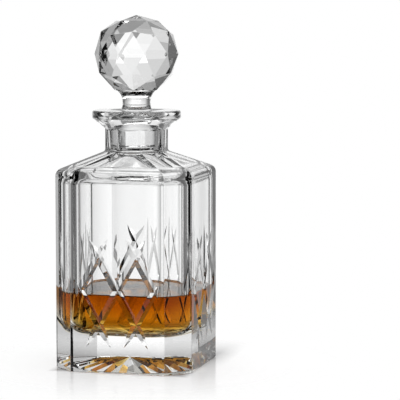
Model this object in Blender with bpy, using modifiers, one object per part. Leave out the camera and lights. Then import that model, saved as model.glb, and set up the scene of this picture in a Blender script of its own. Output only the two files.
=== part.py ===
"""Square cut crystal decanter with a faceted ball stopper, and the spirit standing in it.

Metres, +Z up. The origin is the centre of the foot, on the surface that the decanter stands on. The cut
panels face -Y, +X, +Y and -X, with a plain chamfer at each corner. Three pieces: decanter_body, stopper and
spirit_fill. The stopper lifts straight out of the neck along +Z.
"""

from math import cos, pi, radians, sin, sqrt, tan

import bmesh
import bpy
from mathutils import Matrix, Vector

MM = 0.001

# The body: a square with chamfered corners, seen from above
HALF_WIDTH = 48.0 * MM
CHAMFER_LEG = 15.0 * MM
HALF_PANEL = HALF_WIDTH - CHAMFER_LEG
FOOT_CHAMFER = 0.8 * MM
SIDE_TOP = 131.3 * MM
SHOULDER_ROUND = 5.5 * MM
SHOULDER_SLOPE = radians(23.9)
NECK_APOTHEM = 20.1 * MM
NECK_FILLET = 1.4 * MM
NECK_TOP = 166.0 * MM

# The lip: a round collar on a cone
LIP_RADIUS = 30.5 * MM
LIP_TOP = 175.0 * MM
LIP_EDGE_BOTTOM = 169.0 * MM
LIP_EDGE_ROUND = 1.5 * MM
CONE_FOOT_RADIUS = 19.3 * MM
CONE_FOOT_Z = 160.6 * MM

# The stopper
BALL_RADIUS = 29.0 * MM
BALL_CENTRE = 213.6 * MM
CAP_FLATTENING = 0.915
BALL_TURN = radians(27.5)
STEM_TOP = 188.2 * MM
STEM_TOP_RADIUS = 13.0 * MM
STEM_SINK = 1.0 * MM
WAIST_RADIUS = 9.6 * MM
WAIST_Z = 180.2 * MM
FLARE_CURVE = 2.4
PEG_TOP = 169.6 * MM
PEG_TOP_RADIUS = 17.3 * MM
PEG_COLLAR_STEP = 0.5 * MM
PEG_BOTTOM = 149.5 * MM
PEG_BOTTOM_RADIUS = 15.5 * MM
PEG_EDGE = 1.2 * MM
SEAT_GAP = 0.35 * MM

# The hollow: a square with round corners that turns into the round bore of the neck
HOLLOW_HALF_WIDTH = 40.5 * MM
HOLLOW_CORNER = 22.0 * MM
HOLLOW_FLOOR = 23.5 * MM
HOLLOW_FLOOR_ROUND = 11.0 * MM
HOLLOW_SIDE_TOP = 125.5 * MM
HOLLOW_SHOULDER_ROUND = 9.0 * MM
THROAT_Z = 142.5 * MM
THROAT_FILLET = 1.5 * MM
MOUTH_FLARE = 2.6 * MM
MOUTH_DROP = 0.4 * MM

# The spirit, which keeps clear of the glass
FILL_TOP = 51.5 * MM
FILL_GAP = 0.3 * MM

# The mitre cuts: crossing places on a panel, across and up
CROSS_X = 13.0 * MM
CROSS_HIGH = 78.8 * MM
CROSS_MIDDLE = 55.8 * MM
CUT_TOP = 90.8 * MM
CUT_BOTTOM = 17.4 * MM
SPIRE_TOP = 98.0 * MM
SPIRE_BOTTOM = 57.5 * MM
SIDE_TIP = 4.6 * MM
CUT_DEPTH = 1.6 * MM
DEPTH_STEP = 0.04 * MM
CUT_HALF_ANGLE = radians(60.0)
CUTTER_RISE = 1.5 * MM

# The star under the foot
STAR_RAYS = 24
STAR_INNER_RADIUS = 27.0 * MM
STAR_RADIUS = 43.0 * MM
STAR_MOUTH = 44.2 * MM
STAR_APEX = 6.2 * MM
STAR_VALLEY = 4.2 * MM
STAR_RIDGE = 2.2 * MM
STAR_RIM = 0.2 * MM
STAR_CUTTER_BOTTOM = -1.0 * MM

TURNED_STEPS = 48
HOLLOW_POINTS = 48
MERGE = 0.00001


def clear_scene():
    """Removes everything that was in the file."""
    for old in list(bpy.data.objects):
        bpy.data.objects.remove(old)


def make_collection(name, helpers=False):
    """A collection in the scene; one of helpers stays out of renders."""
    collection = bpy.data.collections.new(name)
    bpy.context.scene.collection.children.link(collection)
    collection.hide_render = helpers
    return collection


def make_material(name, colour, roughness, ior):
    """Clear glass or liquid of one colour."""
    material = bpy.data.materials.new(name)
    material.use_nodes = True
    shader = material.node_tree.nodes["Principled BSDF"]
    shader.inputs["Base Color"].default_value = colour
    shader.inputs["Roughness"].default_value = roughness
    shader.inputs["Metallic"].default_value = 0.0
    shader.inputs["IOR"].default_value = ior
    shader.inputs["Transmission Weight"].default_value = 1.0
    return material


def add_object(name, bm, collection, material=None):
    """An object of a finished bmesh, with its normals pointing out."""
    bmesh.ops.recalc_face_normals(bm, faces=bm.faces)
    mesh = bpy.data.meshes.new(name)
    bm.to_mesh(mesh)
    bm.free()
    made = bpy.data.objects.new(name, mesh)
    collection.objects.link(made)
    if material:
        mesh.materials.append(material)
    return made


def as_helper(helper):
    """Marks an object as a cutter or a shape that is joined to another."""
    helper.hide_render = True
    helper.display_type = "WIRE"
    return helper


def apply_boolean(target, other, operation, name):
    """Joins other to target, or cuts it away."""
    modifier = target.modifiers.new(name, "BOOLEAN")
    modifier.operation = operation
    modifier.object = other
    modifier.solver = "EXACT"


def loft(bm, rings):
    """A closed skin through rings that all have the same number of points."""
    loops = [[bm.verts.new(point) for point in ring] for ring in rings]
    count = len(loops[0])
    for lower, upper in zip(loops, loops[1:]):
        for i in range(count):
            k = (i + 1) % count
            bm.faces.new((lower[i], lower[k], upper[k], upper[i]))
    bm.faces.new(list(reversed(loops[0])))
    bm.faces.new(loops[-1])


def arc(centre_x, centre_z, radius, start, end, steps):
    """Points (x, z) of an arc, with both of its ends."""
    angles = [start + (end - start) * i / steps for i in range(steps + 1)]
    return [(centre_x + radius * cos(a), centre_z + radius * sin(a)) for a in angles]


def turned(name, profile, collection, material=None):
    """A solid of revolution about Z. The profile (x, z) runs from the axis, down the outside, to the axis again."""
    bm = bmesh.new()
    points = [bm.verts.new((x, 0.0, z)) for x, z in profile]
    for upper, lower in zip(points, points[1:]):
        bm.edges.new((upper, lower))
    mesh = bpy.data.meshes.new(name)
    bm.to_mesh(mesh)
    bm.free()
    made = bpy.data.objects.new(name, mesh)
    collection.objects.link(made)
    if material:
        mesh.materials.append(material)
    screw = made.modifiers.new("Turn", "SCREW")
    screw.axis = "Z"
    screw.steps = TURNED_STEPS
    screw.render_steps = TURNED_STEPS
    screw.use_merge_vertices = True
    screw.merge_threshold = MERGE
    return made


def octagon(half_width, half_flat, z):
    """Eight corners of a square with chamfered corners, anticlockwise from above."""
    corners = []
    for quarter in range(4):
        turn = Matrix.Rotation(quarter * pi / 2, 3, "Z")
        corners.append(turn @ Vector((-half_flat, -half_width, z)))
        corners.append(turn @ Vector((half_flat, -half_width, z)))
    return corners


def body_outline():
    """(half width, half panel, height) of the body's sections, from the foot to the top of the neck."""
    neck_flat = NECK_APOTHEM * tan(pi / 8)
    corner_share = tan(pi / 8)
    sections = [
        (HALF_WIDTH - FOOT_CHAMFER, HALF_PANEL - FOOT_CHAMFER * corner_share, 0.0),
        (HALF_WIDTH, HALF_PANEL, FOOT_CHAMFER),
    ]
    edge = arc(HALF_WIDTH - SHOULDER_ROUND, SIDE_TOP, SHOULDER_ROUND, 0.0, pi / 2 - SHOULDER_SLOPE, 4)
    for x, z in edge:
        sections.append((x, HALF_PANEL - (HALF_WIDTH - x) * corner_share, z))
    edge_x, edge_panel, edge_z = sections[-1]
    foot_x = NECK_APOTHEM + NECK_FILLET
    foot_z = edge_z + (edge_x - foot_x) * tan(SHOULDER_SLOPE)
    share = (edge_x - foot_x) / (edge_x - NECK_APOTHEM)
    foot_panel = edge_panel + (neck_flat - edge_panel) * share
    sections.append((foot_x, foot_panel, foot_z))
    sections.append((NECK_APOTHEM, neck_flat, foot_z + NECK_FILLET))
    sections.append((NECK_APOTHEM, neck_flat, NECK_TOP))
    return sections


def lip_profile():
    """The collar and the cone under it."""
    edge = LIP_EDGE_ROUND
    rim_x = LIP_RADIUS - edge
    upper = arc(rim_x, LIP_TOP - edge, edge, pi / 2, 0.0, 4)
    lower = arc(rim_x, LIP_EDGE_BOTTOM + edge, edge, 0.0, -pi / 3, 3)
    return [(0.0, LIP_TOP)] + upper + lower + [(CONE_FOOT_RADIUS, CONE_FOOT_Z), (0.0, CONE_FOOT_Z)]


def rounded_square(half_width, corner, z):
    """A ring of the hollow, its points at even angles. A corner as large as the half width makes it a circle."""
    flat = half_width - corner
    ring = []
    for i in range(HOLLOW_POINTS):
        angle = 2 * pi * i / HOLLOW_POINTS
        c, s = abs(cos(angle)), abs(sin(angle))
        wide, narrow = max(c, s), min(c, s)
        reach = half_width / wide
        if reach * narrow > flat:
            along = flat * (c + s)
            reach = along + sqrt(along**2 - 2 * flat**2 + corner**2)
        ring.append(Vector((reach * cos(angle), reach * sin(angle), z)))
    return ring


def hollow_rings(clearance=0.0, top=None):
    """Rings up the hollow, each moved in by clearance. With a top, they end there on the straight side."""
    half = HOLLOW_HALF_WIDTH - clearance
    corner = HOLLOW_CORNER - clearance
    floor = HOLLOW_FLOOR + clearance
    rings = []
    bend = HOLLOW_FLOOR_ROUND
    for x, z in arc(half - bend, floor + bend, bend, -pi / 2, 0.0, 6):
        rings.append(rounded_square(x, corner - (half - x) / 2, z))
    if top:
        rings.append(rounded_square(half, corner, top))
        return rings
    bend = HOLLOW_SHOULDER_ROUND
    runs = arc(half - bend, HOLLOW_SIDE_TOP, bend, 0.0, pi / 2 - SHOULDER_SLOPE, 4)
    throat = bore_radius(THROAT_Z)
    last_x, last_z = runs[-1]
    end_x, end_z = throat + THROAT_FILLET, THROAT_Z - THROAT_FILLET
    for t in (1 / 3, 2 / 3, 1.0):
        runs.append((last_x + (end_x - last_x) * t, last_z + (end_z - last_z) * t))
    for x, z in runs:
        share = (half - x) / (half - throat)
        rings.append(rounded_square(x, corner + (throat - corner) * share, z))
    return rings


def bore_radius(z):
    """The ground seat's radius at a height, just clear of the peg."""
    share = (z - PEG_BOTTOM) / (PEG_TOP - PEG_BOTTOM)
    return PEG_BOTTOM_RADIUS + (PEG_TOP_RADIUS - PEG_BOTTOM_RADIUS) * share + SEAT_GAP


def hollow_cutter(collection):
    """The inside of the bottle, its seat for the stopper and its flared mouth, as one solid."""
    bm = bmesh.new()
    rings = hollow_rings()
    seat_top = PEG_TOP - MOUTH_DROP
    mouth = bore_radius(seat_top)
    round_runs = [(bore_radius(THROAT_Z), THROAT_Z)]
    for t in (0.0, 0.4, 0.75, 1.0):
        round_runs.append((mouth + MOUTH_FLARE * t**2, seat_top + (LIP_TOP - seat_top) * t))
    round_runs.append((mouth + MOUTH_FLARE, LIP_TOP + CUTTER_RISE))
    for radius, z in round_runs:
        rings.append(rounded_square(radius, radius, z))
    loft(bm, rings)
    return as_helper(add_object("hollow_cutter", bm, collection))


def mitre_cut(bm, start, end, start_run, end_run, turn, depth):
    """One wheel cut on a panel, from start to end (across, up): a V that runs out to a point at each end."""
    a, b = Vector((start[0], 0, start[1])), Vector((end[0], 0, end[1]))
    length = (b - a).length
    along = (b - a) / length
    out = Vector((0, -1, 0))
    side = along.cross(out)
    spread = tan(CUT_HALF_ANGLE)
    past = 0.05
    marks = [start_run * t for t in (-past, 0.2, 0.45, 0.72, 1.0)]
    marks += [length - end_run * t for t in (1.0, 0.72, 0.45, 0.2, -past)]
    if start_run + end_run >= length:
        del marks[5]
    rings = []
    for s in marks:
        short = max(0.0, 1 - s / start_run, 1 - (length - s) / end_run)
        deep = depth * (1 - short**2)
        half = (deep + CUTTER_RISE) * spread
        on_face = a + along * s + out * HALF_WIDTH
        rings.append([
            turn @ (on_face + side * half + out * CUTTER_RISE),
            turn @ (on_face - out * deep),
            turn @ (on_face - side * half + out * CUTTER_RISE),
        ])
    loft(bm, rings)


def panel_cuts(lean):
    """(start, end, run at the start, run at the end) of the cuts that lean one way: lean is 1 or -1."""
    slope = CROSS_X / (CROSS_HIGH - CROSS_MIDDLE)

    def at(offset, z):
        return (lean * (offset + (CROSS_MIDDLE - z) * slope), z)

    run_top, run_bottom, run_side = 13.0 * MM, 17.0 * MM, 12.0 * MM
    pitch = 2 * CROSS_X
    return [
        (at(0.0, CUT_TOP), at(0.0, CUT_BOTTOM), run_top, run_bottom),
        (at(pitch, CUT_TOP), at(pitch, CROSS_MIDDLE - SIDE_TIP), run_top, run_side),
        (at(-pitch, CROSS_MIDDLE + SIDE_TIP), at(-pitch, CUT_BOTTOM), run_side, run_bottom),
    ]


def cut_cutters(collection):
    """The wheel cuts of all four panels: those leaning left, those leaning right, and the upright spires."""
    spire_run = (SPIRE_TOP - SPIRE_BOTTOM) / 2
    spire = [((0.0, SPIRE_TOP), (0.0, SPIRE_BOTTOM), spire_run, spire_run)]
    groups = {"cuts_leaning_right": panel_cuts(1), "cuts_leaning_left": panel_cuts(-1), "spires": spire}
    made = []
    for name, cuts in groups.items():
        bm = bmesh.new()
        depth = CUT_DEPTH + len(made) * DEPTH_STEP
        for quarter in range(4):
            turn = Matrix.Rotation(quarter * pi / 2, 3, "Z")
            for start, end, start_run, end_run in cuts:
                mitre_cut(bm, start, end, start_run, end_run, turn, depth)
        made.append(as_helper(add_object(name, bm, collection)))
    return made


def star_cutter(collection):
    """The star under the foot: a shallow cone whose rays fold up towards the middle and die out at the rim."""
    bm = bmesh.new()
    apex = bm.verts.new((0, 0, STAR_APEX))
    inner, rim, mouth = [], [], []
    for i in range(2 * STAR_RAYS):
        across, along = cos(pi * i / STAR_RAYS), sin(pi * i / STAR_RAYS)
        z = STAR_RIDGE if i % 2 else STAR_VALLEY
        inner.append(bm.verts.new((STAR_INNER_RADIUS * across, STAR_INNER_RADIUS * along, z)))
        rim.append(bm.verts.new((STAR_RADIUS * across, STAR_RADIUS * along, STAR_RIM)))
        mouth.append(bm.verts.new((STAR_MOUTH * across, STAR_MOUTH * along, STAR_CUTTER_BOTTOM)))
    for i in range(len(inner)):
        k = (i + 1) % len(inner)
        bm.faces.new((apex, inner[i], inner[k]))
        # the longer diagonal starts at the ridge, so both facets of a ray are alike
        if i % 2:
            bm.faces.new((inner[i], rim[i], rim[k]))
            bm.faces.new((inner[i], rim[k], inner[k]))
        else:
            bm.faces.new((inner[k], rim[i], rim[k]))
            bm.faces.new((inner[k], inner[i], rim[i]))
        bm.faces.new((rim[i], mouth[i], mouth[k], rim[k]))
    bm.faces.new(mouth)
    return as_helper(add_object("star_cutter", bm, collection))


def build_body(parts, cutters, glass):
    """The bottle: one piece of glass."""
    bm = bmesh.new()
    loft(bm, [octagon(*section) for section in body_outline()])
    body = add_object("decanter_body", bm, parts, glass)
    lip = as_helper(turned("lip", lip_profile(), cutters))
    apply_boolean(body, lip, "UNION", "Lip")
    apply_boolean(body, hollow_cutter(cutters), "DIFFERENCE", "Hollow")
    for cutter in cut_cutters(cutters):
        apply_boolean(body, cutter, "DIFFERENCE", cutter.name)
    apply_boolean(body, star_cutter(cutters), "DIFFERENCE", "Star")
    return body


def stopper_profile():
    """The stem's flare into the ball, the waist, the flare into the peg, and the tapered peg."""
    in_ball = STEM_TOP + 3 * MM
    rise = STEM_TOP - WAIST_Z
    flare_out = [(WAIST_RADIUS + (STEM_TOP_RADIUS - WAIST_RADIUS) * t**FLARE_CURVE, WAIST_Z + rise * t)
                 for t in (1.0, 0.75, 0.5, 0.25, 0.0)]
    fall = WAIST_Z - PEG_TOP
    collar = PEG_TOP_RADIUS - PEG_COLLAR_STEP
    flare_in = [(WAIST_RADIUS + (collar - WAIST_RADIUS) * t**FLARE_CURVE, WAIST_Z - fall * t)
                for t in (0.3, 0.5, 0.7, 0.85, 0.95)]
    taper = (PEG_TOP_RADIUS - PEG_BOTTOM_RADIUS) / (PEG_TOP - PEG_BOTTOM)
    peg = [(PEG_TOP_RADIUS, PEG_TOP), (PEG_BOTTOM_RADIUS + taper * PEG_EDGE, PEG_BOTTOM + PEG_EDGE),
           (PEG_BOTTOM_RADIUS - PEG_EDGE, PEG_BOTTOM), (0.0, PEG_BOTTOM)]
    return [(0.0, in_ball), (STEM_TOP_RADIUS - STEM_SINK, in_ball)] + flare_out + flare_in + peg


def build_stopper(parts, cutters, glass):
    """The ball of eighty flat facets with its stem and peg, one piece of glass."""
    bm = bmesh.new()
    bmesh.ops.create_icosphere(bm, subdivisions=2, radius=BALL_RADIUS)
    for vert in bm.verts:
        if vert.co.z > 0.7 * BALL_RADIUS:
            vert.co.z *= CAP_FLATTENING
    bmesh.ops.rotate(bm, verts=bm.verts, cent=(0, 0, 0), matrix=Matrix.Rotation(BALL_TURN, 3, "Z"))
    bmesh.ops.translate(bm, verts=bm.verts, vec=(0, 0, BALL_CENTRE))
    stopper = add_object("stopper", bm, parts, glass)
    stem = as_helper(turned("stem_and_peg", stopper_profile(), cutters))
    apply_boolean(stopper, stem, "UNION", "Stem and peg")
    return stopper


def build_fill(parts, spirit):
    """The spirit, standing in the lower part of the hollow."""
    bm = bmesh.new()
    loft(bm, hollow_rings(FILL_GAP, FILL_TOP))
    return add_object("spirit_fill", bm, parts, spirit)


def main():
    clear_scene()
    parts = make_collection("Cut crystal decanter")
    cutters = make_collection("Cutters", helpers=True)
    glass = make_material("crystal_glass", (0.96, 0.97, 0.97, 1.0), 0.0, 1.54)
    spirit = make_material("amber_spirit", (0.80, 0.33, 0.03, 1.0), 0.0, 1.36)
    build_body(parts, cutters, glass)
    build_stopper(parts, cutters, glass)
    build_fill(parts, spirit)


main()
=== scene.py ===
from math import atan2, cos, pi, radians, sin, sqrt, tan

import bmesh
import bpy
from mathutils import Matrix, Vector


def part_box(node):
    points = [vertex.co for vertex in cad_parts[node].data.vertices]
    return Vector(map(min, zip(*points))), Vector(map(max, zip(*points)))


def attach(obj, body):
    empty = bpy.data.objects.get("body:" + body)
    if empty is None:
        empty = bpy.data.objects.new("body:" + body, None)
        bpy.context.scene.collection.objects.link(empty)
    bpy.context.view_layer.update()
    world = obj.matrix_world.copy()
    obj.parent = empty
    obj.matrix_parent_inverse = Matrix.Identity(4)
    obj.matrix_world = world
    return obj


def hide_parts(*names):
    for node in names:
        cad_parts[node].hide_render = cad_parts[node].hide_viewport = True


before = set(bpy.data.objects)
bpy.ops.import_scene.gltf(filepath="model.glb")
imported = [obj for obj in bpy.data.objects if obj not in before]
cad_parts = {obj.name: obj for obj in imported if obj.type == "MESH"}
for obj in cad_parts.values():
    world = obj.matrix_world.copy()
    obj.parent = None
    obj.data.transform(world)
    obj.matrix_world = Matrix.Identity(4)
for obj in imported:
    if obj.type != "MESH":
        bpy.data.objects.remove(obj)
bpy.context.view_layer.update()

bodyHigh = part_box("decanter_body")[1]
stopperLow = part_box("stopper")[0]
spiritLow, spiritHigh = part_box("spirit_fill")
halfWidth = bodyHigh.x
lipTop = bodyHigh.z
# two points this near are at one level
hair = 1e-5


# ---------- small helpers for modelling

def deselectAll():
    if bpy.context.mode != "OBJECT":
        bpy.ops.object.mode_set(mode="OBJECT")
    bpy.ops.object.select_all(action="DESELECT")


def activate(piece):
    deselectAll()
    piece.select_set(True)
    bpy.context.view_layer.objects.active = piece


def nameNew(name):
    piece = bpy.context.active_object
    piece.name = name
    piece.data.name = name
    return piece


def editMode(piece, kind="VERT"):
    activate(piece)
    bpy.ops.object.mode_set(mode="EDIT")
    bpy.ops.mesh.select_mode(type=kind)
    bpy.ops.mesh.select_all(action="DESELECT")
    return bmesh.from_edit_mesh(piece.data)


def selectEdges(piece, wanted):
    # wanted looks at an edge's two ends
    mesh = editMode(piece, "EDGE")
    for edge in mesh.edges:
        if wanted(edge.verts[0].co, edge.verts[1].co):
            edge.select_set(True)
    mesh.select_flush_mode()
    bmesh.update_edit_mesh(piece.data)


def selectFaces(piece, wanted):
    # wanted looks at a face's middle and its normal
    mesh = editMode(piece, "FACE")
    for face in mesh.faces:
        if wanted(face.calc_center_median(), face.normal):
            face.select_set(True)
    bmesh.update_edit_mesh(piece.data)


def objectMode():
    bpy.ops.object.mode_set(mode="OBJECT")


def bakePlace(piece):
    activate(piece)
    bpy.ops.object.transform_apply(location=True, rotation=True, scale=True)


def mergeAndTurnOut(piece, distance=1e-6):
    editMode(piece)
    bpy.ops.mesh.select_all(action="SELECT")
    bpy.ops.mesh.remove_doubles(threshold=distance)
    bpy.ops.mesh.normals_make_consistent(inside=False)
    objectMode()


def applyModifier(piece, kind, **settings):
    activate(piece)
    modifier = piece.modifiers.new(kind, kind)
    for key, value in settings.items():
        setattr(modifier, key, value)
    bpy.ops.object.modifier_apply(modifier=modifier.name)


def cutWith(piece, tool, operation="DIFFERENCE"):
    applyModifier(piece, "BOOLEAN", object=tool, operation=operation, solver="EXACT")
    bpy.data.objects.remove(tool)


def joinInto(piece, others):
    activate(piece)
    for other in others:
        other.select_set(True)
    bpy.ops.object.join()
    return piece


def copiesAround(piece, count):
    # the piece and its copies, each with its own mesh, turned evenly about the upright axis
    made = [piece]
    for i in range(1, count):
        twin = piece.copy()
        twin.data = piece.data.copy()
        bpy.context.collection.objects.link(twin)
        twin.data.transform(Matrix.Rotation(2 * pi * i / count, 4, "Z"))
        made.append(twin)
    return joinInto(piece, made[1:])


def arcPoints(x, z, radius, start, end, steps):
    turns = [start + (end - start) * i / steps for i in range(steps + 1)]
    return [(x + radius * cos(t), z + radius * sin(t)) for t in turns]


def turned(name, profile, sides):
    # a disc is extruded up the profile and scaled to each of its radii, as on a lathe
    radius, z = profile[0]
    bpy.ops.mesh.primitive_circle_add(vertices=sides, radius=radius, fill_type="NGON", location=(0, 0, z))
    piece = nameNew(name)
    bakePlace(piece)
    editMode(piece, "FACE")
    bpy.ops.mesh.select_all(action="SELECT")
    for nextRadius, nextZ in profile[1:]:
        bpy.ops.mesh.extrude_region_move(TRANSFORM_OT_translate={"value": (0, 0, nextZ - z)})
        grow = nextRadius / radius
        bpy.ops.transform.resize(value=(grow, grow, 1), center_override=(0, 0, nextZ))
        radius, z = nextRadius, nextZ
    objectMode()
    mergeAndTurnOut(piece)
    return piece


def shadeByAngle(piece, angle):
    activate(piece)
    bpy.ops.object.shade_smooth_by_angle(angle=angle)
    # the broad faces stay flat and the narrow rounds between them take up the turn
    applyModifier(piece, "WEIGHTED_NORMAL", mode="FACE_AREA", weight=100, keep_sharp=True)


# ---------- shader maths as expressions

class Wire:
    # wraps a socket, so that sums on values add their Math nodes
    def __init__(self, tree, socket):
        self.tree = tree
        self.socket = socket

    def maths(self, operation, first, second):
        node = self.tree.nodes.new("ShaderNodeMath")
        node.operation = operation
        for place, value in enumerate((first, second)):
            if isinstance(value, Wire):
                self.tree.links.new(value.socket, node.inputs[place])
            else:
                node.inputs[place].default_value = value
        return Wire(self.tree, node.outputs[0])

    def __add__(self, other):
        return self.maths("ADD", self, other)

    def __radd__(self, other):
        return self.maths("ADD", other, self)

    def __sub__(self, other):
        return self.maths("SUBTRACT", self, other)

    def __rsub__(self, other):
        return self.maths("SUBTRACT", other, self)

    def __mul__(self, other):
        return self.maths("MULTIPLY", self, other)

    def __gt__(self, other):
        return self.maths("GREATER_THAN", self, other)


class Shader:
    def __init__(self, owner):
        owner.use_nodes = True
        self.tree = owner.node_tree
        self.tree.nodes.clear()

    def add(self, kind, settings=None, **inputs):
        # settings come first, then the sockets; a name's underscores stand for spaces
        node = self.tree.nodes.new("ShaderNode" + kind)
        for key, value in (settings or {}).items():
            if key == "stops":
                ramp = node.color_ramp.elements
                while len(ramp) > 1:
                    ramp.remove(ramp[0])
                ramp[0].position, ramp[0].color = value[0]
                for position, colour in value[1:]:
                    ramp.new(position).color = colour
            else:
                setattr(node, key, value)
        for key, value in inputs.items():
            socket = node.inputs[int(key[1:])] if key[1:].isdigit() else node.inputs[key.replace("_", " ")]
            if isinstance(value, Wire):
                self.tree.links.new(value.socket, socket)
            else:
                socket.default_value = value
        return node

    def out(self, node, name=0):
        return Wire(self.tree, node.outputs[name])


# ---------- camera

cameraSet = {
    "place": (0.3667, -1.2383, 0.2369),
    "tilt": radians(84.51),
    "turn": radians(14.56),
    "lens": 168.9,
}


def addCamera():
    bpy.ops.object.camera_add(
        location=cameraSet["place"], rotation=(cameraSet["tilt"], 0, cameraSet["turn"]))
    camera = bpy.context.active_object
    camera.data.lens = cameraSet["lens"]
    camera.data.clip_start = 0.01
    bpy.context.scene.camera = camera


addCamera()
print("camera placed")


# ---------- materials

def crystalMaterial(name, settings):
    made = bpy.data.materials.new(name)
    s = Shader(made)
    place = s.out(s.add("TexCoord"), "Object")
    # the slow swell that fire polishing leaves, and faint smears of handling
    swell = s.out(s.add("TexNoise", Vector=place, Scale=settings["swellScale"], Detail=1.0), "Fac")
    smear = s.out(s.add("TexNoise", Vector=place, Scale=settings["smearScale"], Detail=4.0), "Fac")
    smearMask = (smear > settings["smearShare"]) * settings["smearRoughness"]
    bump = s.out(s.add("Bump", Height=swell, Strength=settings["swellStrength"],
                       Distance=settings["swellHeight"]))
    tint = s.out(s.add("Mix", {"data_type": "RGBA"}, Factor=smear,
                       _6=settings["tintA"], _7=settings["tintB"]), 2)
    glass = s.add("BsdfPrincipled", Base_Color=tint, Roughness=smearMask, Normal=bump,
                  IOR=settings["ior"], Transmission_Weight=1.0)
    s.add("OutputMaterial", Surface=s.out(glass))
    return made


def spiritMaterial(name, settings):
    made = bpy.data.materials.new(name)
    s = Shader(made)
    place = s.out(s.add("TexCoord"), "Object")
    # a tint that is painted light and shade: none at the foot, so the spirit shows lighter there, and darker
    # towards the top, for how light falls in it and not a colour the spirit has
    cloud = s.out(s.add("TexNoise", Vector=place, Scale=settings["cloudScale"], Detail=2.0), "Fac")
    height = s.out(s.add("SeparateXYZ", Vector=place), 2) + (cloud - 0.5) * settings["cloudHeight"]
    low, high = settings["paintedLightBand"]
    share = s.out(s.add("MapRange", {"interpolation_type": "SMOOTHSTEP"}, Value=height,
                        From_Min=low, From_Max=high))
    tint = s.out(s.add("Mix", {"data_type": "RGBA"}, Factor=share,
                       _6=settings["tintA"], _7=settings["tintB"]), 2)
    liquid = s.out(s.add("BsdfPrincipled", Base_Color=tint, Roughness=0.0,
                         IOR=settings["ior"], Transmission_Weight=1.0))
    if settings["depth"]:
        depth = s.add("VolumeAbsorption", Color=settings["depthColour"], Density=settings["depth"])
        s.add("OutputMaterial", Surface=liquid, Volume=s.out(depth))
    else:
        s.add("OutputMaterial", Surface=liquid)
    return made


crystalLook = {
    "ior": 1.54,
    "swellScale": 28.0,
    "swellStrength": 0.05,
    "swellHeight": 0.0004,
    "smearScale": 60.0,
    "smearShare": 0.56,
    "smearRoughness": 0.012,
    "tintA": (1.0, 1.0, 1.0, 1),
    "tintB": (0.985, 0.99, 0.99, 1),
}
spiritLook = {
    "ior": 1.36,
    "cloudScale": 40.0,
    "tintA": (1.0, 1.0, 1.0, 1),
    "tintB": (0.46, 0.235, 0.10, 1),
    "cloudHeight": 0.012,
    # painted light: over this band above the hollow's floor the spirit's colour fades in, so its foot is
    # left lighter
    "paintedLightBand": (spiritLow.z + 0.005, spiritLow.z + 0.023),
    "depthColour": (0.915, 0.735, 0.10, 1),
    "depth": 83.0,
}
crystal = crystalMaterial("cutCrystal", crystalLook)
stopperCrystal = crystalMaterial("stopperCrystal", {**crystalLook, "swellStrength": 0.02})
# where spirit wets the crystal only the step between the two bends light, and the spirit's own skin doesn't
wettedCrystal = crystalMaterial(
    "wettedCrystal", {**crystalLook, "ior": crystalLook["ior"] / spiritLook["ior"]})
spirit = spiritMaterial("amberSpirit", {**spiritLook, "ior": 1.0})
spiritSurface = spiritMaterial(
    "spiritSurface", {**spiritLook, "tintB": spiritLook["tintA"], "depth": 0})
print("glass and spirit mixed")


# ---------- the bottle

bottleSet = {
    "chamferLeg": 0.015,
    "shoulderEdge": 0.13488,
    "shoulderSlope": radians(23.9),
    "shoulderRound": 0.0036,
    "shoulderSteps": 7,
    "neckApothem": 0.0201,
    "neckTop": 0.166,
    "neckFillet": 0.0014,
    "footChamfer": 0.0008,
    "edgeRound": 0.0006,
    "bevelAngle": radians(15),
    "sharpAngle": radians(14),
    "mergeDistance": 2e-6,
}
lipSet = {
    "radius": 0.0305,
    "edgeBottom": lipTop - 0.006,
    "edgeRound": 0.0015,
    "coneFootRadius": 0.0193,
    "coneFootZ": lipTop - 0.0144,
    "sides": 128,
}
hollowSet = {
    "half": spiritHigh.x + 0.0003,
    "corner": 0.022,
    "floor": spiritLow.z - 0.0003,
    "floorRound": 0.011,
    "sideTop": 0.1255,
    "shoulderRound": 0.009,
    "throatZ": 0.1425,
    "throatFillet": 0.0015,
    "seatTop": 0.1692,
    "mouthFlare": 0.0026,
    "toolPastLip": (0.0012, 0.0015),
    "wettedMargin": 0.0002,
    "sides": 192,
}
pegSet = {
    "top": 0.1696,
    "topRadius": 0.0173,
    "bottom": stopperLow.z,
    "bottomRadius": 0.0155,
    "edge": 0.0012,
    "gap": 0.00035,
}


def boreRadius(z):
    share = (z - pegSet["bottom"]) / (pegSet["top"] - pegSet["bottom"])
    return pegSet["bottomRadius"] + (pegSet["topRadius"] - pegSet["bottomRadius"]) * share + pegSet["gap"]


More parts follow.
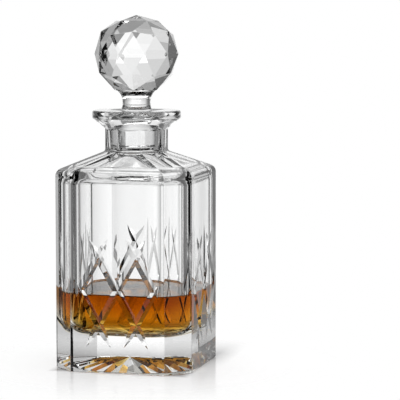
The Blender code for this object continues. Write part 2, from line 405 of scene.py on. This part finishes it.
def bodyBlock():
    # a block with chamfered corners, bridged to the eight-sided neck
    edgeZ = bottleSet["shoulderEdge"]
    bpy.ops.mesh.primitive_cube_add(
        size=1, location=(0, 0, edgeZ / 2), scale=(2 * halfWidth, 2 * halfWidth, edgeZ))
    block = nameNew("crystalBody")
    bakePlace(block)
    selectEdges(block, lambda a, b: abs(a.z - b.z) > edgeZ / 2)
    bpy.ops.mesh.bevel(offset=bottleSet["chamferLeg"], segments=1)
    objectMode()
    selectFaces(block, lambda middle, normal: middle.z > edgeZ - 1e-4)
    bpy.ops.mesh.delete(type="ONLY_FACE")
    objectMode()

    apothem = bottleSet["neckApothem"]
    neckFoot = edgeZ + (halfWidth - apothem) * tan(bottleSet["shoulderSlope"])
    neckHeight = bottleSet["neckTop"] - neckFoot
    bpy.ops.mesh.primitive_cylinder_add(
        vertices=8, radius=apothem / cos(pi / 8), depth=neckHeight,
        location=(0, 0, neckFoot + neckHeight / 2), rotation=(0, 0, pi / 8))
    neck = nameNew("neck")
    bakePlace(neck)
    selectFaces(neck, lambda middle, normal: normal.z < -0.5)
    bpy.ops.mesh.delete(type="ONLY_FACE")
    objectMode()
    joinInto(block, [neck])
    selectEdges(block, lambda a, b: edgeZ - hair < min(a.z, b.z) and max(a.z, b.z) < neckFoot + hair)
    bpy.ops.mesh.bridge_edge_loops()
    objectMode()
    mergeAndTurnOut(block)

    selectEdges(block, lambda a, b: abs(a.z - edgeZ) < hair and abs(b.z - edgeZ) < hair)
    bpy.ops.mesh.bevel(offset=bottleSet["shoulderRound"], segments=bottleSet["shoulderSteps"])
    objectMode()
    selectEdges(block, lambda a, b: abs(a.z - neckFoot) < hair and abs(b.z - neckFoot) < hair)
    bpy.ops.mesh.bevel(offset=bottleSet["neckFillet"], segments=4)
    objectMode()
    applyModifier(block, "BEVEL", width=bottleSet["edgeRound"], segments=3, limit_method="ANGLE",
                  angle_limit=bottleSet["bevelAngle"], use_clamp_overlap=True)
    mergeAndTurnOut(block)
    return block


def lipRing():
    edge = lipSet["edgeRound"]
    rim = lipSet["radius"] - edge
    profile = [(lipSet["coneFootRadius"], lipSet["coneFootZ"])]
    profile += arcPoints(rim, lipSet["edgeBottom"] + edge, edge, -pi / 3, 0, 6)
    profile += arcPoints(rim, lipTop - edge, edge, 0, pi / 2, 8)
    return turned("lipRing", profile, lipSet["sides"])


def squareReach(angle, half, corner):
    # how far a square of this half width with round corners reaches at an angle
    wide, narrow = max(abs(cos(angle)), abs(sin(angle))), min(abs(cos(angle)), abs(sin(angle)))
    flat = half - corner
    reach = half / wide
    if reach * narrow > flat:
        along = flat * (wide + narrow)
        reach = along + sqrt(along**2 - 2 * flat**2 + corner**2)
    return reach


def squareOff(piece, cornerAt):
    # turns each round ring into a square one, with the corner radius that cornerAt gives for it
    activate(piece)
    for point in piece.data.vertices:
        half = sqrt(point.co.x**2 + point.co.y**2)
        if half < 1e-6:
            continue
        angle = atan2(point.co.y, point.co.x)
        reach = squareReach(angle, half, min(half, cornerAt(half, point.co.z)))
        point.co.x, point.co.y = reach * cos(angle), reach * sin(angle)
    piece.data.update()


def hollowProfile():
    half, floor, bend = hollowSet["half"], hollowSet["floor"], hollowSet["floorRound"]
    profile = arcPoints(half - bend, floor + bend, bend, -pi / 2, 0, 12)
    profile.append((half, spiritHigh.z))
    bend = hollowSet["shoulderRound"]
    slope = pi / 2 - bottleSet["shoulderSlope"]
    profile += arcPoints(half - bend, hollowSet["sideTop"], bend, 0, slope, 9)
    throatZ, fillet = hollowSet["throatZ"], hollowSet["throatFillet"]
    throat = boreRadius(throatZ)
    startX, startZ = profile[-1]
    for i in range(1, 9):
        t = i / 8
        profile.append((startX + (throat + fillet - startX) * t, startZ + (throatZ - fillet - startZ) * t))
    for i in range(1, 5):
        t = i / 4
        profile.append((throat + fillet * (1 - sin(t * pi / 2)), throatZ - fillet * cos(t * pi / 2)))
    return profile


def hollowCorner(half, z):
    # the hollow's corner radius at a ring: it closes to a circle at the throat
    wall, corner, throat = hollowSet["half"], hollowSet["corner"], boreRadius(hollowSet["throatZ"])
    if z < hollowSet["sideTop"]:
        return corner - (wall - half) / 2
    share = min(1.0, (wall - half) / (wall - throat))
    return corner + (throat - corner) * share


def hollowTool():
    profile = hollowProfile()
    seatTop = hollowSet["seatTop"]
    mouth = boreRadius(seatTop)
    profile.append((mouth, seatTop))
    for i in range(1, 9):
        t = i / 8
        profile.append((mouth + hollowSet["mouthFlare"] * t**2, seatTop + (lipTop - seatTop) * t))
    out, up = hollowSet["toolPastLip"]
    profile.append((profile[-1][0] + out, lipTop + up))
    tool = turned("hollowTool", profile, hollowSet["sides"])
    squareOff(tool, hollowCorner)
    return tool


# ---------- the wheel cuts

cutSet = {
    "depth": 0.00160,
    "depthStep": 0.00003,
    "halfAngle": radians(60),
    "rise": 0.0012,
    "crossX": 0.0130,
    "crossHigh": 0.0788,
    "crossMiddle": 0.0558,
    "top": 0.0908,
    "bottom": 0.0174,
    "sideTip": 0.0046,
    "spireTop": 0.0980,
    "spireBottom": 0.0575,
    "spireDepth": 0.0013,
    "runTop": 0.013,
    "runBottom": 0.017,
    "runSide": 0.012,
    "steps": 24,
    "past": 0.04,
}
starSet = {
    "rays": 24,
    "innerRadius": 0.0270,
    "radius": 0.0430,
    "mouth": 0.0442,
    "apex": 0.0062,
    "valley": 0.0042,
    "ridge": 0.0022,
    "rim": 0.0002,
    "below": -0.001,
    "drop": 0.01,
}


def wheelCut(start, end, startRun, endRun, depth):
    # a V along the line, as deep as the wheel goes, that rises to nothing at each end
    length = sqrt((end[0] - start[0])**2 + (end[1] - start[1])**2)
    bpy.ops.mesh.primitive_grid_add(x_subdivisions=cutSet["steps"], y_subdivisions=2, size=1)
    cut = nameNew("wheelCut")
    spread = tan(cutSet["halfAngle"])
    past = cutSet["past"]
    lean = atan2(end[1] - start[1], end[0] - start[0])
    for point in cut.data.vertices:
        t, side = point.co.x + 0.5, round(2 * point.co.y)
        along = length * (t * (1 + 2 * past) - past)
        short = max(0.0, 1 - along / startRun, 1 - (length - along) / endRun)
        deep = depth * (1 - short**2)
        if side:
            across, out = side * (deep + cutSet["rise"]) * spread, cutSet["rise"]
        else:
            across, out = 0.0, -deep
        x = start[0] + along * cos(lean) - across * sin(lean)
        z = start[1] + along * sin(lean) + across * cos(lean)
        point.co = (x, -halfWidth - out, z)
    cut.data.update()
    editMode(cut, "FACE")
    bpy.ops.mesh.select_all(action="SELECT")
    bpy.ops.mesh.extrude_region_move(TRANSFORM_OT_translate={"value": (0, -cutSet["rise"], 0)})
    bpy.ops.transform.resize(value=(1, 0, 1), center_override=(0, -halfWidth - 2 * cutSet["rise"], 0))
    objectMode()
    mergeAndTurnOut(cut)
    return cut


def leaningCuts(lean, depth):
    slope = cutSet["crossX"] / (cutSet["crossHigh"] - cutSet["crossMiddle"])
    pitch = 2 * cutSet["crossX"]
    top, bottom, middle, tip = cutSet["top"], cutSet["bottom"], cutSet["crossMiddle"], cutSet["sideTip"]
    runTop, runBottom, runSide = cutSet["runTop"], cutSet["runBottom"], cutSet["runSide"]
    made = []
    for offset, high, low, highRun, lowRun in (
            (0.0, top, bottom, runTop, runBottom),
            (pitch, top, middle - tip, runTop, runSide),
            (-pitch, middle + tip, bottom, runSide, runBottom)):
        upper = (lean * (offset + (middle - high) * slope), high)
        lower = (lean * (offset + (middle - low) * slope), low)
        made.append(wheelCut(upper, lower, highRun, lowRun, depth))
    return joinInto(made[0], made[1:])


def spireCuts():
    run = (cutSet["spireTop"] - cutSet["spireBottom"]) / 2
    return wheelCut((0.0, cutSet["spireTop"]), (0.0, cutSet["spireBottom"]), run, run, cutSet["spireDepth"])


def foldedStar():
    # a shallow cone whose rays fold up towards the middle and die out at the rim
    rays = starSet["rays"]
    bpy.ops.mesh.primitive_circle_add(vertices=2 * rays, radius=starSet["innerRadius"], fill_type="TRIFAN",
                                      location=(0, 0, 0))
    star = nameNew("foldedStar")
    bakePlace(star)
    selectEdges(star, lambda a, b: min(a.length, b.length) > 1e-6)
    bpy.ops.mesh.extrude_region_move()
    grow = starSet["radius"] / starSet["innerRadius"]
    bpy.ops.transform.resize(value=(grow, grow, 1), center_override=(0, 0, 0))
    objectMode()
    for point in star.data.vertices:
        angle = atan2(point.co.y, point.co.x)
        if point.co.length < 1e-6:
            point.co.z = starSet["apex"]
        elif point.co.length > starSet["radius"] - hair:
            point.co.z = starSet["rim"]
        else:
            onRidge = round(angle * rays / pi) % 2
            point.co.z = starSet["ridge"] if onRidge else starSet["valley"]
    star.data.update()
    selectFaces(star, lambda middle, normal: True)
    bpy.ops.mesh.extrude_region_move(TRANSFORM_OT_translate={"value": (0, 0, -starSet["drop"])})
    bpy.ops.transform.resize(value=(1, 1, 0), center_override=(0, 0, starSet["below"]))
    objectMode()
    mergeAndTurnOut(star)
    return star


def wetted(place):
    margin = hollowSet["wettedMargin"]
    return (hollowSet["floor"] - margin < place.z < spiritHigh.z
            and max(abs(place.x), abs(place.y)) < hollowSet["half"] + margin)


def buildBody():
    body = bodyBlock()
    print("bottle blocked out")
    cutWith(body, lipRing(), "UNION")
    cutWith(body, hollowTool())
    print("lip joined and hollow cut")
    for lean in (1, -1):
        depth = cutSet["depth"] + lean * cutSet["depthStep"]
        cutWith(body, copiesAround(leaningCuts(lean, depth), 4))
    cutWith(body, copiesAround(spireCuts(), 4))
    cutWith(body, foldedStar())
    mergeAndTurnOut(body, bottleSet["mergeDistance"])
    shadeByAngle(body, bottleSet["sharpAngle"])
    body.data.materials.clear()
    body.data.materials.append(crystal)
    body.data.materials.append(wettedCrystal)
    for face in body.data.polygons:
        face.material_index = 1 if wetted(face.center) else 0
    print("panels and foot cut")
    return body


# ---------- the stopper

stopperSet = {
    "ballRadius": 0.029,
    "ballCentre": 0.2136,
    "capShare": 0.7,
    "capFlattening": 0.915,
    "ballTurn": radians(27.5),
    "facetEdge": 0.00025,
    "stemTop": 0.1882,
    "stemTopRadius": 0.0130,
    "waistZ": 0.1802,
    "waistRadius": 0.0096,
    "flareCurve": 2.4,
    "stemSink": (0.001, 0.003),
    "collarStep": 0.0005,
    "sharpAngle": radians(9),
    "sides": 128,
}


def facetedBall():
    bpy.ops.mesh.primitive_ico_sphere_add(subdivisions=2, radius=stopperSet["ballRadius"])
    ball = nameNew("crystalStopper")
    for point in ball.data.vertices:
        if point.co.z > stopperSet["capShare"] * stopperSet["ballRadius"]:
            point.co.z *= stopperSet["capFlattening"]
    ball.data.transform(Matrix.Rotation(stopperSet["ballTurn"], 4, "Z"))
    ball.data.transform(Matrix.Translation((0, 0, stopperSet["ballCentre"])))
    applyModifier(ball, "BEVEL", width=stopperSet["facetEdge"], segments=2, limit_method="NONE")
    return ball


def stemProfile():
    # from the peg's end up to the ball
    edge = pegSet["edge"]
    taper = (pegSet["topRadius"] - pegSet["bottomRadius"]) / (pegSet["top"] - pegSet["bottom"])
    bottomRadius = pegSet["bottomRadius"]
    profile = []
    for x, z in arcPoints(bottomRadius - edge, pegSet["bottom"] + edge, edge, -pi / 2, 0, 6):
        profile.append((x + taper * (z - pegSet["bottom"]), z))
    profile.append((pegSet["topRadius"], pegSet["top"]))
    collar = pegSet["topRadius"] - stopperSet["collarStep"]
    waist, waistZ = stopperSet["waistRadius"], stopperSet["waistZ"]
    stemTop, stemRadius, curve = stopperSet["stemTop"], stopperSet["stemTopRadius"], stopperSet["flareCurve"]
    for i in range(1, 17):
        t = 1 - i / 16
        profile.append((waist + (collar - waist) * t**curve, waistZ - (waistZ - pegSet["top"]) * t))
    for i in range(1, 11):
        t = i / 10
        profile.append((waist + (stemRadius - waist) * t**curve, waistZ + (stemTop - waistZ) * t))
    inward, up = stopperSet["stemSink"]
    profile.append((stemRadius - inward, stemTop + up))
    return profile


def buildStopper():
    stopper = facetedBall()
    cutWith(stopper, turned("stemAndPeg", stemProfile(), stopperSet["sides"]), "UNION")
    mergeAndTurnOut(stopper, bottleSet["mergeDistance"])
    shadeByAngle(stopper, stopperSet["sharpAngle"])
    stopper.data.materials.clear()
    stopper.data.materials.append(stopperCrystal)
    print("stopper cut")
    return stopper


# ---------- the spirit

spiritSet = {
    "wet": 0.0002,
    "upward": 0.1,
    "meniscusRise": 0.0009,
    "meniscusReach": 0.0022,
    "sheetAbove": 0.00003,
    "sharpAngle": radians(20),
    "sides": 192,
}


def buildSpirit():
    # it wets the glass: its skin lies just inside the wall of the hollow
    wet = spiritSet["wet"]
    half, floor, bend = hollowSet["half"] + wet, hollowSet["floor"] - wet, hollowSet["floorRound"] + wet
    profile = arcPoints(half - bend, floor + bend, bend, -pi / 2, 0, 12)
    level = spiritHigh.z
    rise, reach = spiritSet["meniscusRise"], spiritSet["meniscusReach"]
    top = [(half, level + rise)]
    for i in range(1, 9):
        t = i / 8
        top.append((half - wet - reach * t, level + rise * (1 - t)**3))
    fill = turned("amberSpirit", profile + top, spiritSet["sides"])
    squareOff(fill, lambda ring, z: hollowSet["corner"] + wet - (half - ring) / 2)
    mergeAndTurnOut(fill)
    fill.data.materials.clear()
    fill.data.materials.append(spirit)

    # the face that meets the air is a sheet of its own, a hair above
    sheet = fill.copy()
    sheet.data = fill.data.copy()
    bpy.context.collection.objects.link(sheet)
    sheet.data.materials.clear()
    sheet.data.materials.append(spiritSurface)
    selectFaces(sheet, lambda middle, normal: middle.z < level - hair or normal.z < spiritSet["upward"])
    bpy.ops.mesh.delete(type="FACE")
    objectMode()
    sheet.data.transform(Matrix.Translation((0, 0, spiritSet["sheetAbove"])))
    joinInto(fill, [sheet])
    shadeByAngle(fill, spiritSet["sharpAngle"])
    print("spirit poured")
    return fill


body = buildBody()
stopper = buildStopper()
fill = buildSpirit()
for piece, rider, node, slot in (
        (body, "bottle", "decanter_body", "crystal_body"),
        (stopper, "stopper_assembly", "stopper", "crystal_stopper"),
        (fill, "bottle", "spirit_fill", "amber_spirit")):
    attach(piece, rider)
    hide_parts(node)


# ---------- the studio

studioSet = {
    "tableRadius": 0.14,
    "tableColour": (0.92, 0.92, 0.92, 1),
    "tableGlow": 0.42,
    # painted shadow on the table's glow: footShade under the foot, farShade on its far side
    "footShade": 0.06,
    "footEdge": (0.043, 0.050),
    "shadeStart": (-0.02, 0.03),
    "shadeSides": (0.062, 0.047),
    "shadeEnd": 0.11,
    "farShade": 0.8,
    "edgeStart": 0.065,
    "tableRoughness": 0.10,
    "grainScale": 30.0,
    "grainRoughness": 0.04,
    "background": 1.0,
    "backdropBottom": -0.05,
    "backdropTop": 0.20,
    "backdropFade": 0.80,
    "ceilingLevel": 0.22,
    "ceilingBand": (0.64, 0.82),
    "lowLevel": 0.34,
    "lowBand": (-0.26, -0.42),
    "panelSoftness": (0.02, 0.06),
}
# how bright the room is, by the way one looks: degrees to the left of straight back, and level
roomStops = [
    (-180, 0.01), (-115, 0.02), (-103, 0.14), (-44, 0.18), (-33, 0.22), (-24, 0.45), (-13, 0.66),
    (-7, 0.85), (0, 1.08), (6, 1.16), (12, 1.14), (17, 1.10), (24, 1.04), (30, 0.96), (42, 0.84),
    (49, 0.64), (55, 0.32), (66, 0.18), (76, 0.14), (81, 0.20), (84, 0.78), (96, 0.78), (100, 0.14),
    (130, 0.02), (180, 0.01),
]
# patches at least this bright: middle way and half width, then the sines of the lowest and highest slope
panelSets = [
    {"way": 16, "half": 20, "low": 0.03, "high": 0.09, "level": 1.8},
    {"way": 18, "half": 40, "low": 0.14, "high": 0.66, "level": 0.60},
    {"way": -135, "half": 16, "low": -0.45, "high": 0.05, "level": 0.95},
    {"way": 45, "half": 20, "low": -0.62, "high": -0.32, "level": 0.78},
]


def buildTable():
    bpy.ops.mesh.primitive_circle_add(vertices=128, radius=studioSet["tableRadius"], fill_type="NGON",
                                      location=(0, 0, -0.0002))
    table = nameNew("studioTable")
    bakePlace(table)
    made = bpy.data.materials.new("litAcrylic")
    s = Shader(made)
    place = s.out(s.add("TexCoord"), "Object")
    grain = s.out(s.add("TexNoise", Vector=place, Scale=studioSet["grainScale"], Detail=3.0), "Fac")
    # painted shadow: the lit sheet's glow is cut down to footShade where the foot stands, a contact shadow
    # under it
    parts = s.add("SeparateXYZ", Vector=place)
    x, y = s.out(parts, 0), s.out(parts, 1)
    away = x.maths("MAXIMUM", x.maths("ABSOLUTE", x, 0), y.maths("ABSOLUTE", y, 0))
    inner, outer = studioSet["footEdge"]
    lit = s.out(s.add("MapRange", Value=away, From_Min=inner, From_Max=outer, To_Min=studioSet["footShade"]))
    # and painted shadow: the glow is dimmed on the far side of the foot
    start, end = studioSet["shadeStart"]
    behind = s.out(s.add("MapRange", Value=y, From_Min=start, From_Max=end))
    near = s.out(s.add("MapRange", Value=y, From_Min=studioSet["shadeEnd"], From_Max=outer))
    past, within = studioSet["shadeSides"]
    between = s.out(s.add("MapRange", Value=x.maths("ABSOLUTE", x, 0), From_Min=past, From_Max=within))
    lit = lit * (1 - near * behind * between * studioSet["farShade"])
    # the sheet thins out to nothing at its edge
    reach = x.maths("POWER", x * x + y * y, 0.5)
    cover = s.out(s.add("MapRange", Value=reach,
                        From_Min=studioSet["tableRadius"], From_Max=studioSet["edgeStart"]))
    glow = s.out(s.add("CombineXYZ", X=lit, Y=lit, Z=lit))
    shell = s.add("BsdfPrincipled", Base_Color=studioSet["tableColour"],
                  Roughness=studioSet["tableRoughness"] + grain * studioSet["grainRoughness"],
                  Emission_Color=glow, Emission_Strength=studioSet["tableGlow"], Alpha=cover)
    s.add("OutputMaterial", Surface=s.out(shell))
    table.data.materials.append(made)


def toTurn(way):
    # degrees, as the share of a whole turn that the room's ramp reads
    return way / 360 + 0.5


def buildWorld():
    world = bpy.data.worlds.new("whiteStudio")
    bpy.context.scene.world = world
    s = Shader(world)
    direction = s.out(s.add("TexCoord"), "Generated")
    parts = s.add("SeparateXYZ", Vector=direction)
    x, y, z = s.out(parts, 0), s.out(parts, 1), s.out(parts, 2)
    turn = x.maths("ARCTAN2", 0 - x, y) * (0.5 / pi) + 0.5
    stops = [(toTurn(way), (level, level, level, 1)) for way, level in roomStops]
    # the backdrop darkens upwards
    top, bottom = studioSet["backdropTop"], studioSet["backdropBottom"]
    fade = s.out(s.add("MapRange", Value=z, From_Min=bottom, From_Max=top,
                       To_Min=1.0, To_Max=studioSet["backdropFade"]))
    light = s.out(s.add("ValToRGB", {"stops": stops}, Fac=turn)) * fade
    for band, level in ((studioSet["ceilingBand"], studioSet["ceilingLevel"]),
                        (studioSet["lowBand"], studioSet["lowLevel"])):
        share = s.out(s.add("MapRange", Value=z, From_Min=band[0], From_Max=band[1]))
        light = light * (1 - share) + share * level
    softTurn, softRise = studioSet["panelSoftness"]
    for panel in panelSets:
        low, high = (toTurn(panel["way"] + side * panel["half"]) for side in (-1, 1))
        left = s.out(s.add("MapRange", Value=turn, From_Min=low, From_Max=low + softTurn))
        right = s.out(s.add("MapRange", Value=turn, From_Min=high, From_Max=high - softTurn))
        rise = s.out(s.add("MapRange", Value=z, From_Min=panel["low"], From_Max=panel["low"] + softRise))
        fall = s.out(s.add("MapRange", Value=z, From_Min=panel["high"] + softRise, From_Max=panel["high"]))
        light = light.maths("MAXIMUM", light, left * right * rise * fall * panel["level"])
    # seen straight on the backdrop is plain white, and the glass bends and mirrors the room's own levels
    seen = s.out(s.add("LightPath"), "Is Camera Ray")
    backdrop = seen * studioSet["background"] + (1 - seen) * light
    sky = s.add("Background", Color=(1, 1, 1, 1), Strength=backdrop)
    s.add("OutputWorld", Surface=s.out(sky))


def addSoftbox(name, place, size, power, aim=(0, 0, 0.1)):
    bpy.ops.object.light_add(type="AREA", location=place)
    lamp = bpy.context.active_object
    lamp.name = name
    lamp.data.shape = "RECTANGLE"
    lamp.data.size, lamp.data.size_y = size
    lamp.data.energy = power
    lamp.rotation_euler = (Vector(aim) - Vector(place)).to_track_quat("-Z", "Y").to_euler()


buildTable()
buildWorld()
addSoftbox("overheadSoftbox", (0.1, -0.1, 1.6), (1.0, 1.0), 6.0)
bpy.context.scene.view_settings.view_transform = "Standard"
print("studio lit")

bpy.context.view_layer.update()
